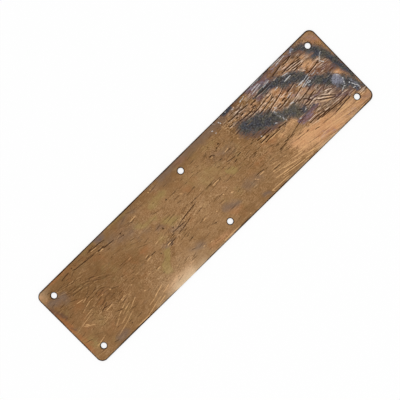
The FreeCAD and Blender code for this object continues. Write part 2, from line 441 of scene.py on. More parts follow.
pathMarks = {
    # Lines through two or more places, each place given as along, across
    "deepPaths": [   # dark gouges
        (53.5, -28.8, 60.3, -28.2, 64.5, -28.5, 74.5, -27.6), (83.5, -27.7, 90, -27.2, 100, -27.4),
        (75.7, -25.8, 81.5, -26), (75, -23.8, 78, -23), (65, -22.3, 69, -21.9, 73, -21.8, 76, -22.5),
        (64.5, -19.8, 72, -19.3, 79, -19.4, 87, -20.4, 94, -20.8),
        (76, -15.8, 80, -16, 84, -16.8, 93, -17.9),
        (80, -11.2, 83.5, -12, 87, -13, 92, -14, 96, -15, 100, -16, 105.6, -18), (96, -10.2, 99, -11.2),
        (90.5, -9.8, 94, -9.8), (90, -8, 95, -7.9, 100, -8.5, 104, -9.2),
        (60, -2, 64, -1.4, 68.5, -1.5, 75, -1.2), (61, 1.4, 70, 1.5),
        (64, 3.8, 68, 3.4, 74, 3.8, 78.5, 4), (79, 2.8, 84, 3.4, 87, 3.8), (52, -24.9, 54, -24.8),
        (60.5, -26.1, 62, -26), (65, -25.2, 67.5, -25.3), (104, -12.4, 107, -13, 112.5, -14),
        (111, -26.1, 116, -26.6, 121, -26.3, 125, -25.5, 130, -24.6),
        (115.5, -24.9, 119.5, -24.6, 125, -24.1, 129.5, -23.3), (119, -23, 123, -22.4, 128, -22),
        (119, -21, 124, -20.9, 128, -20.5), (105, -30.2, 110, -30.8, 115, -31.8),
        (116, -30.5, 121, -30.6, 126, -31.8), (127, -12, 130, -12.2, 135, -12.5, 139.4, -14),
        (105.6, -5.5, 110, -6.7, 115, -7.8), (105.6, -0.7, 110, -1.2, 115, -2, 120.6, -2.9),
        (106, 4, 111, 3.6, 115, 2.3, 120.6, 1.4), (105.6, 5.1, 110, 6, 115.6, 5.1, 119, 6),
        (109.4, 0.1, 112, 2.6, 113, 4.5), (115, 7, 120.6, 11.4, 126, 15, 129, 16.4),
        (120.6, 8.3, 125, 11.4, 130, 15.8), (100, 17.3, 110, 17.6, 115, 18.6),
        (105.6, 19.8, 115, 19.8, 119.4, 20.1), (100, 3, 103, 5.6),
        (109.4, 20.8, 120.6, 21.7, 130, 22.3, 137.5, 22), (120.6, 25.8, 130, 25.1, 137.5, 24.5),
    ],
    "brightPaths": [   # bright scratches beside them
        (81, -20, 85, -21.4, 89, -22.8), (77, -16.8, 82, -18.4, 87, -18.4), (84, -14, 90, -15.2),
        (97, -13.2, 103, -13.4), (112.5, 8.3, 117.5, 11.4, 122, 13.9, 127, 17),
        (113.8, 5.8, 120.6, 8.6, 127, 11.4, 130.3, 15.1), (116, -25.7, 121, -25.3, 126, -24.7),
        (118, -23.8, 123, -23.3, 128, -22.7), (119, -21.9, 126, -21.3), (122, -19.9, 126, -15),
        (100, 15.8, 105, 15.7, 109.4, 15.9), (110, 17, 114, 18, 119.4, 19.2), (112.5, 18.6, 119.4, 19.2),
        (88, 5.5, 92, 8, 95, 9), (77, 7, 78.5, 9.5), (78.5, 10.5, 79.8, 12.5),
        (104, 7.6, 109, 6.8, 113, 6.4), (106, 9, 113, 8), (121, 10.2, 127, 14.2), (117, 7.6, 124, 12.2),
        (66, 21.8, 80, 26.2, 94, 31), (52, 26.2, 74, 30.3, 87, 34.7), (98, 22.6, 112, 26.4),
        (100, 30, 120, 33), (110, 26.4, 134, 28.8), (136, 27.6, 150, 28.4), (138, 29.4, 149, 30.2),
    ],
    "finePaths": [   # fine dark scratches
        (-116.8, -31.8, -114.9, -30.5, -108.7, -29.9, -102.4, -29.1, -96.2, -28.6),
        (-128.7, -31.4, -124.9, -31.9, -119.9, -32.1),
        (-98, -33, -91.8, -32.3, -85.5, -31.9, -81.8, -31.1), (-91.4, -27.7, -85.5, -28),
        (-87, -26.8, -81.8, -26.1, -76.1, -25.8), (-63.9, 4, -58.9, 4),
        (-48, 8.3, -44.3, 7.9, -38.6, 7.5), (-36.1, 6.9, -30.5, 6.4, -26.1, 5.4, -19.9, 4.5),
        (-38.6, 2.9, -32.4, 3.3, -25.5, 3.6),
        (-29.9, 1.6, -24.9, 0.9, -20.5, 0.3, -15.5, -0.5, -10.5, -1.1, -8, -1.8),
        (23.4, -19.3, 26.5, -18.9, 27.8, -16.8), (30.9, -6.8, 35.3, -6, 39.6, -5.5),
        (39.9, -4.3, 44.6, -4.6), (35.3, -2.4, 38.4, -2.7), (40.3, 17.3, 44, 17.3, 48.4, 18.3),
        (54, 23.6, 57.1, 24.2, 60, 24), (-25, -19.3, -23.6, -19.3), (-42.6, -4.6, -41.6, -4),
        (-36.6, 0.2, -35, 0.3), (-122.7, 8.6, -119.9, 7.6, -115.5, 5.8), (35.3, -22, 36.8, -21.9),
        (54, -3.7, 56.5, -3.5), (84, 13.4, 89, 12.4, 92, 11.8, 96, 10.8, 102, 10.8),
        (75.3, 14.2, 80, 14.5, 84, 14.1), (68, 15.8, 76, 15.5), (54, -23, 59.5, -23, 64, -22.4),
        (52, -17.2, 57, -17.5), (-41, 4.4, -38, 4.2), (-47, 9.6, -45, 9.4),
    ],
    "faintPaths": [   # fainter dark scratches
        (-114.9, -34.3, -108.7, -33.6, -102.4, -33, -96.2, -32.4),
        (-137.4, -28, -131.8, -28.3, -127.4, -28.6), (-131.8, -21.8, -127.4, -20.8, -123.7, -20.5),
        (-112.4, -18, -108, -16.4), (-107.4, -13.6, -103, -11.1, -98, -8.6),
        (-139.3, -19.3, -133.7, -18.6, -129.9, -17.4,
         -125.5, -16.4, -119.9, -16.1, -114.9, -14.6, -111.8, -13),
        (-118.7, -18, -114.3, -17.1, -111.2, -14.3, -108.7, -13, -104.9, -10.5, -99.9, -8.9, -96.2, -6.8),
        (-135.5, -14.9, -129.9, -12.4),
        (-133.7, -2.4, -128.7, -4.3, -124.3, -5.2, -118.7, -4.9,
         -114.9, -5.5, -109.9, -5.5, -106.2, -3, -104.3, 0.1, -104, 2.6),
        (-122.4, 1.1, -114.9, -0.5), (-123, 5.1, -115.5, 3.9), (-117.4, 9.5, -111.2, 8.6),
        (-108.7, 11.7, -102.4, 11.1), (-106.2, 14.8, -101.2, 14.2),
        (-133.7, 27, -132.4, 23.9, -131.8, 21.4), (-124.9, 24.5, -119.9, 21.4, -118.7, 20.1),
        (-129.3, 11.4, -125.5, 13.9), (-64.9, -28.3, -60.5, -27.5, -58, -27.1),
        (-57.4, -25.8, -51.8, -26.4), (-55.5, -34.3, -50.5, -32, -44.3, -31.4),
        (-70.5, -13.9, -64.3, -11.4, -59.3, -10.5), (-89.9, -5.5, -85.5, -6, -81.4, -5.5),
        (-68.6, -8.9, -63, -6.1, -59.9, -4.9, -54.9, -3.6), (-69.5, 3.6, -65, 3),
        (-68.6, 14.5, -64.9, 14), (-17.4, -4.8, -13, -3.8, -8, -3.5, -1.8, -3.3, 5.8, -3.3),
        (-4.9, -17.7, -2.4, -17.4), (4.5, -20.5, 6.4, -19.9), (-33.6, 13.6, -28.6, 12),
        (-34.3, 17.3, -29.3, 17), (-11.8, 20.1, -6.8, 18.9), (1.4, 8.3, 7, 7.6),
        (-40.5, -18.6, -35.5, -17.4), (-20.5, -11.1, -15.5, -10.5), (-10.5, -10.2, -0.5, -10.5),
        (7.8, -2.4, 19.6, -2.1), (5.3, -3.6, 14.6, -3.9), (5.3, 0.8, 18.4, -0.5), (22.1, -9, 24.6, -8.8),
        (33.4, -9.3, 44.6, -9.3), (35.3, -12.7, 41.5, -13), (47.8, 5.1, 53.4, 4.8), (55.9, 17, 60, 17),
        (50.3, -17.4, 56.5, -17.5), (10.3, -20.8, 13.4, -20.5), (-38, 23.4, -34, 24.6),
        (-32, 26.4, -27, 25.6), (62.5, 8, 66.5, 8.6), (65, 10.5, 67.5, 10.5), (68.5, 12, 70.5, 12.2),
        (61.5, 13.3, 64, 13.5), (107, 25.1, 120.6, 26), (100, -3.3, 102, -3.8), (64, -36.4, 67, -36),
        (-118, -2.6, -110, -3.2), (-114, 2, -107, 1.6), (-112, 5.4, -106, 4.6), (-88, -7.6, -82, -7.2),
        (4, 36.9, 9, 37, 14, 36.8), (46, 3.2, 53, 3.6), (41, 1.4, 47, 2), (20, -22, 24, -22.2),
        (28, -11.6, 31, -11.4), (8, -26, 14, -26.6),
    ],
    "glintPaths": [   # fine golden scratches
        (55.2, 25.3, 69.6, 27.2, 84, 30.6), (56, 32.2, 76.5, 35.3), (58, 30.6, 72, 33.4, 82, 35.6),
        (50, 29.6, 62, 31.8), (41, 34.7, 59, 35.6), (60, 28.4, 76, 32), (88, 27, 104, 31.4),
        (84, 33.4, 92, 35.6), (37.4, 18.6, 39.9, 21.1), (-129.3, -18.6, -124.9, -17.7, -121.2, -16.8),
        (-134.3, -1.4, -128.7, -3.3, -123.7, -4.6, -118.7, -3.9),
        (-128.7, -7.4, -124.3, -8, -119.9, -8.1), (-124.3, 0.1, -117.4, -1.1, -109.9, -0.8),
        (-121, 8.2, -117, 6.6), (-114.3, 9.2, -111.2, 8.2), (-106.2, 12.6, -101.2, 11.7),
        (-107.4, 13.9, -102.4, 13.4), (-112.4, 21.7, -108.7, 20.1, -104.9, 19.2, -102.4, 18.3),
        (-127.4, 27, -123, 24.8, -118.7, 22.6, -114.9, 20.1, -111.2, 18.6, -107.4, 17, -103, 15.8),
        (-141.8, 6.7, -139.9, 8.3, -137.4, 9.5, -133.7, 12), (-139.9, 6.7, -137.4, 8.6),
        (-98.7, 13.9, -94.9, 12.9), (-98, 36.1, -94.3, 35.8, -88, 33.9, -80.5, 32.6),
        (-77.4, 31.7, -69.9, 30.1), (-92.4, 31.4, -85.5, 30.1, -78.6, 27.6), (-68.6, 27.3, -65.5, 26.7),
        (-54.9, -0.2, -49.3, -0.5, -46.1, -0.2), (-49.3, 8, -44.3, 7), (-48, 7.3, -40.5, 6.6),
        (-57.4, -26.8, -50.5, -27.4), (-69.3, 2.6, -65.5, 1.7), (-69, 5.1, -64.3, 4.5),
        (-68, 15.4, -64.9, 15.1), (-13.6, -15.2, -11.8, -13.6), (-34.3, 14.2, -29.3, 12.9, -24.3, 10.8),
        (-15, 12.4, -12.4, 12), (-15, 13.6, -12, 13.2), (10, -1.2, 16.5, -1.6), (24, -17.7, 26, -17.4),
        (35.3, -13.4, 39.6, -14), (41.5, 18.8, 47.8, 19.4), (52, 24.6, 54, 24.9),
        (16.8, 12.6, 18.4, 13.9), (41.5, 34.8, 42.8, 36.4), (-110, 36.8, -98, 36.8),
        (-91, -26.7, -86.4, -26.4), (-96, -31.8, -90, -31.2), (-14, 36.6, 6, 36.3), (-104, 22, -96, 18.6),
        (-88, 35.8, -78, 34.6), (-84, 29.2, -74, 26.4), (-120, 10.4, -112, 9.8),
    ],
    "scuffPaths": [   # pale grey scuffs
        (108.4, -20.4, 112, -20.6, 115.3, -20.5), (108.4, -20.2, 115, -20.3), (98, -20.6, 101.5, -21),
        (110, -24.6, 115, -23.3), (115, -9.9, 119, -10.2, 126, -11.4), (113.6, -10.2, 119, -10.9),
        (115, -7, 120.6, -8.6, 125, -9.2), (116.4, -6.2, 123, -7.6), (120.6, -6.1, 124, -6.4),
        (119.6, -5, 121, -4.4), (127, -9, 129.6, -9, 132, -9.6), (101, -9.6, 106, -10.2),
        (82.5, -30.8, 87, -31.8, 93.5, -32.2), (93, -28.8, 96, -29, 100, -29.8), (71, -33.4, 76, -34),
        (84, -33.4, 92, -33.8), (76, -34.6, 77, -34.4), (78, -36.6, 100, -36.2), (108, -36.4, 118, -36),
        (112, -34.2, 122, -35.2), (86.6, -3.5, 87.5, 0.5, 88.4, 3), (85.4, -9.6, 86.6, -6.6),
        (88, -11.4, 89, -9.6), (80, -2, 81.2, -0.8), (145, -17.4, 142, -15.5),
        (142, -14.9, 140.3, -13.3, 138.8, -12), (140.3, -11.8, 141.6, -9.2), (143.2, 3, 143.4, 3.6),
        (143.8, 5.8, 143.8, 9.5, 142.5, 11.4, 141.2, 13.9, 140, 16.4, 138.8, 17.3),
        (135.6, 17.3, 138, 16, 140, 15),
        (143.8, 16.4, 145, 15.8, 146.3, 20.1, 148, 22, 148.4, 24.5, 147.5, 25.8),
        (143.8, 21.4, 146.3, 22), (145.6, 17.6, 146.8, 20.8), (141, 4.4, 142.6, 6),
        (127.5, -33.6, 126.9, -31.8), (130, -33.8, 131.2, -33.6), (131.4, -7, 132.2, -6.2),
        (112.2, -10.6, 112.8, -10.4), (138, 23.6, 138.2, 24), (39.4, -32.6, 40.4, -31.8),
        (40.4, -29.2, 41.6, -29), (47.8, -34.3, 49, -31.8), (44, -36.6, 44.8, -35),
        (50, -36.4, 51.6, -36.2), (57, -36.8, 58, -35.6), (62.6, -33.8, 64.2, -33.4),
        (99.6, -4.4, 102, -3.6), (104, 7.4, 106, 6.9), (96.4, 9.4, 98, 9.8), (64.8, -2.4, 65.4, -1.6),
    ],
}

flecks = [
    # Light spots
    (-30.4, -33.4), (-27.8, -33.6), (-28.4, 28.2), (-22, 29.6), (-104.6, 4.8), (-107.4, 1.6), (-106, 0.4),
    (-87, 20.4), (50.2, -14), (65, -34), (-2, 15.6), (11, 9.6), (17, 13), (-7.6, 31), (-91.6, 9.4),
    (103, -26.8), (16, 35.6),
]

pits = [
    # Dark spots
    (-24, -19.4), (-42, -5), (-9, 21.6), (-69, -25.4), (-68, -23), (-57, 8.4), (-116, -33), (24.6, -19),
    (61, -26), (52.6, -25), (-112, 31.6), (33, -20.4), (36, -22), (77, -25), (78.4, -22.6),
    (104.6, -29.6), (98, -9),
]

brushing = {
    # Zones of seeded strokes: how many, where their middles lie, how far they lean across for each
    # step along, how much that varies, and their shortest and longest
    "deepZones": [
        dict(seed=11, count=16, along=(64, 108), across=(-28, 2), lean=-0.12, vary=0.08, length=(3, 12)),
        dict(seed=12, count=14, along=(106, 138), across=(-35, -14), lean=0.05, vary=0.06, length=(3, 12)),
        dict(seed=13, count=12, along=(100, 138), across=(8, 25), lean=0.08, vary=0.12, length=(3, 12)),
        dict(seed=26, count=14, along=(100, 134), across=(-14, 8), lean=-0.24, vary=0.16, length=(2, 8)),
    ],
    "fineZones": [
        dict(seed=14, count=240, along=(20, 90), across=(-34, 20), lean=-0.02, vary=0.1, length=(2, 9)),
        dict(seed=15, count=210, along=(-90, 20), across=(-34, 34), lean=-0.08, vary=0.14, length=(2, 11)),
        dict(seed=27, count=26, along=(-46, -4), across=(-8, 12), lean=-0.16, vary=0.05, length=(4, 18)),
        dict(seed=16, count=150, along=(-148, -90), across=(-34, 34), lean=0.02, vary=0.24, length=(3, 10)),
        dict(seed=25, count=240, along=(64, 146), across=(-34, 24), lean=-0.05, vary=0.22, length=(2, 8)),
        dict(seed=22, count=36, along=(62, 145), across=(14, 37), lean=0.1, vary=0.04, length=(6, 26)),
    ],
    "lightZones": [
        dict(seed=17, count=130, along=(56, 145), across=(14, 37), lean=0.12, vary=0.06, length=(4, 18)),
        dict(seed=18, count=24, along=(-148, -60), across=(-34, 36), lean=-0.2, vary=0.2, length=(3, 14)),
        dict(seed=19, count=18, along=(-60, 60), across=(-34, 34), lean=0.0, vary=0.15, length=(2, 6)),
        dict(seed=20, count=110, along=(62, 142), across=(-34, 10), lean=-0.12, vary=0.14, length=(3, 14)),
        dict(seed=23, count=22, along=(114, 130), across=(6, 17), lean=0.48, vary=0.08, length=(4, 9)),
        dict(seed=24, count=14, along=(114, 130), across=(6, 17), lean=-0.6, vary=0.1, length=(3, 6)),
        dict(seed=28, count=44, along=(80, 146), across=(18, 35), lean=0.14, vary=0.05, length=(8, 24)),
        dict(seed=29, count=18, along=(-142, -98), across=(2, 30), lean=-0.19, vary=0.05, length=(10, 24)),
        dict(seed=30, count=10, along=(-140, -104), across=(-28, -2), lean=0.16, vary=0.06, length=(7, 16)),
    ],
}

# How each kind of stroke is drawn: how far to the right of its rows, how wide, how strong, and
# the share of its width that its ends keep. A dark gouge also has a painted highlight beside it.
darkStyles = {
    "curves": (0, 0.38, 1.1, 1.0),
    "deepPaths": (0, 0.4, 1.6, 0.9),
    "deepZones": (0, 0.32, 1.25, 0.45),
    "finePaths": (0, 0.38, 1.25, 0.9),
    "faintPaths": (0, 0.4, 0.8, 0.9),
    "fineZones": (0, 0.32, 1.0, 0.45),
}
# Light scratches, and painted highlights moved across to lie beside the dark strokes
brightAndHighlightStyles = {
    "curves": (0.75, 0.34, 1.2, 1.0),
    "brightPaths": (0, 0.3, 1.1, 0.9),
    "glintPaths": (0, 0.34, 1.14, 0.9),
    "deepPaths": (0.95, 0.36, 0.9, 0.9),
    "deepZones": (0.9, 0.34, 0.8, 0.45),
    "fineZones": (0.8, 0.36, 0.5, 0.45),
    "lightZones": (0, 0.35, 1.0, 0.45),
}
scuffStyles = {"scuffPaths": (0, 0.36, 1.25, 0.8)}
spotRadius = 0.8


def dots(x, y, rows, radius):
    # Round marks that fall off as the exponent of minus distance over radius, squared.
    mask = np.zeros_like(x)
    for y0, x0 in rows:
        near = (np.abs(x - x0) < 4 * radius) & (np.abs(y - y0) < 4 * radius)
        distance = np.hypot(x[near] - x0, y[near] - y0)
        mask[near] = np.maximum(mask[near], np.exp(-((distance / radius) ** 2)))
    return mask


def toOutline(x, y, halfX, halfY, radius):
    # How far inside a rounded rectangle each point lies: the radius less its distance from the
    # rectangle of the corners' middles, which counts as below zero inside that.
    dx = np.abs(x) - (halfX - radius)
    dy = np.abs(y) - (halfY - radius)
    outside = np.hypot(np.maximum(dx, 0), np.maximum(dy, 0))
    return radius - outside - np.minimum(np.maximum(dx, dy), 0)


def toHoles(x, y):
    # How far outside the nearest screw hole each point lies.
    return np.min([np.hypot(x - x0, y - y0) for x0, y0 in holeMiddles], axis=0) - holeRadius


def curveRows(sweep):
    # A bundle's scratches, as rows for strokes. Each follows the cubic nearest the given points,
    # moved to one side and a little shorter, and is cut into short straight runs.
    rng = np.random.default_rng(sweep["seed"])
    ys, xs = np.array(sweep["points"], float).T
    steps = np.linspace(0, len(ys) - 1, 4 * len(ys))
    degree = min(3, len(ys) - 1)
    along = np.polyval(np.polyfit(np.arange(len(ys)), ys, degree), steps)
    across = np.polyval(np.polyfit(np.arange(len(xs)), xs, degree), steps)
    rows = []
    for number in range(sweep["count"]):
        offset = (number - (sweep["count"] - 1) / 2 + rng.normal(0, 0.12)) * sweep["apart"]
        first, last = sorted(rng.choice(len(steps), 2, replace=False))
        first, last = min(first, len(steps) // 3), max(last, 2 * len(steps) // 3)
        own = sweep["strength"] * rng.uniform(0.6, 1.1)
        for k in range(first, last):
            rows.append((along[k], across[k] + offset, along[k + 1], across[k + 1] + offset, 0.0, own))
    return rows


def pathRows(paths):
    # Lines drawn through places, as rows for strokes: straight runs, fainter towards both ends.
    rows = []
    for path in paths:
        ends = [path[k:k + 4] for k in range(0, len(path) - 3, 2)]
        for number, run in enumerate(ends):
            rows.append((*run, 0.0, 0.6 + 0.4 * math.sin(math.pi * (number + 0.5) / len(ends))))
    return rows


def beside(rows, offset):
    # The same strokes moved across by the offset.
    return [(row[0], row[1] + offset, row[2], row[3] + offset, *row[4:]) for row in rows]


def drawnRows():
    # Every stroke on the front as rows for strokes, by its kind.
    drawn = {kind: pathRows(paths) for kind, paths in pathMarks.items()}
    for kind, zones in brushing.items():
        drawn[kind] = [row for zone in zones for row in scattered(zone)]
    drawn["curves"] = [row for sweep in sweeps for row in curveRows(sweep)]
    return drawn


def drawnMask(x, y, drawn, styles, spots=()):
    # One mask for the strokes of some kinds and for round spots; the strongest wins.
    layers = [dots(x, y, spots, spotRadius)]
    for kind, (offset, width, strength, ends) in styles.items():
        layers.append(strokes(x, y, beside(drawn[kind], offset), width, strength, ends))
    return np.max(layers, axis=0)


def paint(x, y):
    # Every mark on the front as a mask over its points: the rim, a band of painted shade, the
    # patches, with a painted reflection among them, and the strokes, with painted highlights.
    inside = toOutline(x, y, halfAcross, halfAlong, sheet["cornerRadius"])
    # A dark band of painted shade along the outline and round each hole
    edgeShadeWidth = 1.0 + 0.25 * softNoise(x, y, 9, 45)
    rim = np.maximum(1 - smooth(0.4, 1.6, inside / edgeShadeWidth), 1 - smooth(0.3, 1.2, toHoles(x, y)))
    x = x - sheet["marksRight"]

    # Patches are looked up at places that are shifted by noise, so that their edges wander
    shiftX = 1.6 * softNoise(x, y, 7, 41) + 0.7 * softNoise(x, y, 2.2, 42)
    shiftY = 2.2 * softNoise(x, y, 9, 43) + 1.0 * softNoise(x, y, 2.6, 44)
    masks = {name: patches(x + shiftX, y + shiftY, rows) for name, rows in patchMarks.items()}
    # The painted reflection along the right edge, and a worn corner, lie where they are written
    masks["pale"] = patches(x, y, reflection)

    drawn = drawnRows()
    masks["dark"] = drawnMask(x, y, drawn, darkStyles, pits)
    # Light scratches and spots, and painted highlights beside the dark strokes
    masks["bright"] = drawnMask(x, y, drawn, brightAndHighlightStyles, flecks) * (1 - masks["dark"])
    masks["scuff"] = drawnMask(x, y, drawn, scuffStyles)
    masks["rim"] = rim
    return masks


def relief(x, y, masks):
    # How far the front lies below flat: the wave depth times gentle waves and the gouge depth
    # times the dark strokes, added, and faded to nothing at the outline and the rims.
    inside = toOutline(x, y, halfAcross, halfAlong, sheet["cornerRadius"])
    fade = smooth(0.5, 2.5, inside) * smooth(0.3, 1.5, toHoles(x, y))
    waves = 0.5 + 0.35 * softNoise(x, y, (14, 22), 31) + 0.15 * softNoise(x, y, (5, 8), 32)
    grooves = np.clip(masks["dark"], 0, 1)
    return fade * (sheet["waveDepth"] * np.clip(waves, 0, 1) + sheet["gougeDepth"] * grooves)


def edgeDown(shell, loop, flat, outward, radius, turn):
    # Bands of quads from a loop of the front round its edge to the back: a quarter round, the
    # wall and the broken back edge. On the round a row lies the radius times the sine of its
    # angle outward, and times one less the cosine down. Turn is 1 at the outline, -1 at a hole.
    burr = sheet["burrBreak"]
    angles = np.linspace(0, math.pi / 2, sheet["roundSteps"] + 1)[1:]
    rows = [(radius * math.sin(a), radius * (1 - math.cos(a)), radius * a) for a in angles]
    length = rows[-1][2] + thickness - radius - burr
    rows.append((radius, thickness - burr, length))
    rows.append((radius - burr, thickness, length + burr * math.sqrt(2)))
    for out, down, run in rows:
        row = shell.add(flat + outward * out, thickness - down, flat + outward * run)
        shell.quads.append(bandFaces(loop, row)[:, ::turn])
        loop = row
    return loop


def makePlate():
    # The whole plate as one closed mesh: a fine front, its edges, and a back half as fine.
    shell = Shell()
    arris, rimRound = sheet["arrisRound"], sheet["rimRound"]
    flat, rings, hollow = plateGrid(arris, holeRadius + rimRound, 1)
    front = shell.add(flat, thickness)
    shell.quads.append(gridFaces(front, hollow))

    border = borderPath(front.shape)
    edge = flat[border]
    straight = np.array([halfAcross, halfAlong]) - sheet["cornerRadius"]
    outward = (edge - np.clip(edge, -straight, straight)) / (sheet["cornerRadius"] - arris)
    backEdge = edgeDown(shell, front[border], edge, outward, arris, 1)
    backRims = []
    for middle, ring in zip(holeMiddles, rings):
        rim = flat[ring]
        inward = (np.array(middle) - rim) / (holeRadius + rimRound)
        backRims.append(edgeDown(shell, front[ring], rim, inward, rimRound, -1))

    # A strip of triangles round the back and round each of its holes joins it to the edges
    inset = sheet["burrBreak"] + sheet["backBorder"]
    backFlat, backRings, backHollow = plateGrid(inset, holeRadius + inset, 2)
    back = shell.add(backFlat, 0.0)
    shell.quads.append(gridFaces(back, backHollow)[:, ::-1])
    shell.triangles.append(halvingFaces(backEdge, back[borderPath(back.shape)]))
    for rim, ring in zip(backRims, backRings):
        shell.triangles.append(halvingFaces(rim, back[ring])[:, ::-1])
    return shell


def meshFrom(shell, name):
    # One mesh from the shell's blocks, without the points that no face uses.
    points = np.concatenate(shell.points)
    unfolded = np.concatenate(shell.unfolded)
    quads = np.concatenate(shell.quads)
    triangles = np.concatenate(shell.triangles)
    corners = np.concatenate([quads.ravel(), triangles.ravel()])
    used, corners = np.unique(corners, return_inverse=True)
    points, unfolded = points[used], unfolded[used]
    sizes = np.concatenate([np.full(len(quads), 4), np.full(len(triangles), 3)])
    mesh = bpy.data.meshes.new(name)
    mesh.vertices.add(len(points))
    mesh.vertices.foreach_set("co", (points * toMetres).astype(np.float32).ravel())
    mesh.loops.add(len(corners))
    mesh.loops.foreach_set("vertex_index", corners.astype(np.int32))
    mesh.polygons.add(len(sizes))
    mesh.polygons.foreach_set("loop_start", (np.cumsum(sizes) - sizes).astype(np.int32))
    mesh.update(calc_edges=True)
    mesh.validate()
    mesh.shade_smooth()
    mesh.set_sharp_from_angle(angle=math.radians(sheet["sharpAngle"]))
    return mesh, points, unfolded, corners, sizes


textureMap = {
    # Where the unfolded front's two halves and the back lie on the square map, as shares
    "lowerFront": (0.004, 0.366),
    "upperFront": (0.374, 0.736),
    "back": (0.744, 0.996),
    "margin": 0.004,
}


def addMap(mesh, points, unfolded, corners, sizes):
    # The map that textures are baked through: the front unfolded with its edges in two halves,
    # side by side, and the back beside them, each stretched to fill its column.
    reachX = np.abs(unfolded[:, 0]).max()
    reachY = np.abs(unfolded[:, 1]).max()
    face = np.repeat(np.arange(len(sizes)), sizes)
    height = np.bincount(face, points[corners, 2]) / sizes
    middle = np.bincount(face, unfolded[corners, 1]) / sizes
    isBack = (height < 1e-6)[face]
    isUpper = (middle > 0)[face] & ~isBack
    flat = np.where(isBack[:, None], points[corners, :2], unfolded[corners])
    columns = np.array([textureMap["lowerFront"], textureMap["upperFront"], textureMap["back"]])
    column = columns[np.where(isBack, 2, np.where(isUpper, 1, 0))]
    start = np.where(isBack | ~isUpper, -reachY, 0.0)
    span = np.where(isBack, 2 * reachY, reachY)
    margin = textureMap["margin"]
    u = column[:, 0] + (flat[:, 0] + reachX) / (2 * reachX) * (column[:, 1] - column[:, 0])
    v = margin + (1 - 2 * margin) * (flat[:, 1] - start) / span
    layer = mesh.uv_layers.new(name="OFBake")
    layer.data.foreach_set("uv", np.stack([u, v], -1).astype(np.float32).ravel())


print("plate shape")
shell = makePlate()
mesh, points, unfolded, corners, sizes = meshFrom(shell, "brassPlate")
addMap(mesh, points, unfolded, corners, sizes)

print("plate marks")
masks = paint(points[:, 0], points[:, 1])
# Marks lie on the front only: 1 there, and 0 from the foot of its rounded edge down
onFront = smooth(thickness - sheet["arrisRound"], thickness - 0.1, points[:, 2])
# The rounded edges and the walls take the painted shade too
masks["rim"] = np.maximum(masks["rim"], 1 - onFront)
masks["back"] = 1 - smooth(0.0, 0.3, points[:, 2])
for name in (*patchMarks, "pale", "dark", "bright", "scuff"):
    masks[name] *= onFront
for name, mask in masks.items():
    mesh.attributes.new(name, "FLOAT", "POINT").data.foreach_set("value", mask.astype(np.float32))
points[:, 2] -= relief(points[:, 0], points[:, 1], masks) * onFront
mesh.vertices.foreach_set("co", (points * toMetres).astype(np.float32).ravel())
mesh.update()
brassPlate = bpy.data.objects.new("brassPlate", mesh)
bpy.context.scene.collection.objects.link(brassPlate)
print("plate triangles", int((sizes - 2).sum()))


# Materials

def colour(red, green, blue):
    # A screen colour, 0 to 255, as the light values that a shader works with.
    parts = np.array([red, green, blue]) / 255
    light = np.where(parts <= 0.04045, parts / 12.92, ((parts + 0.055) / 1.055) ** 2.4)
    return (*light.tolist(), 1.0)


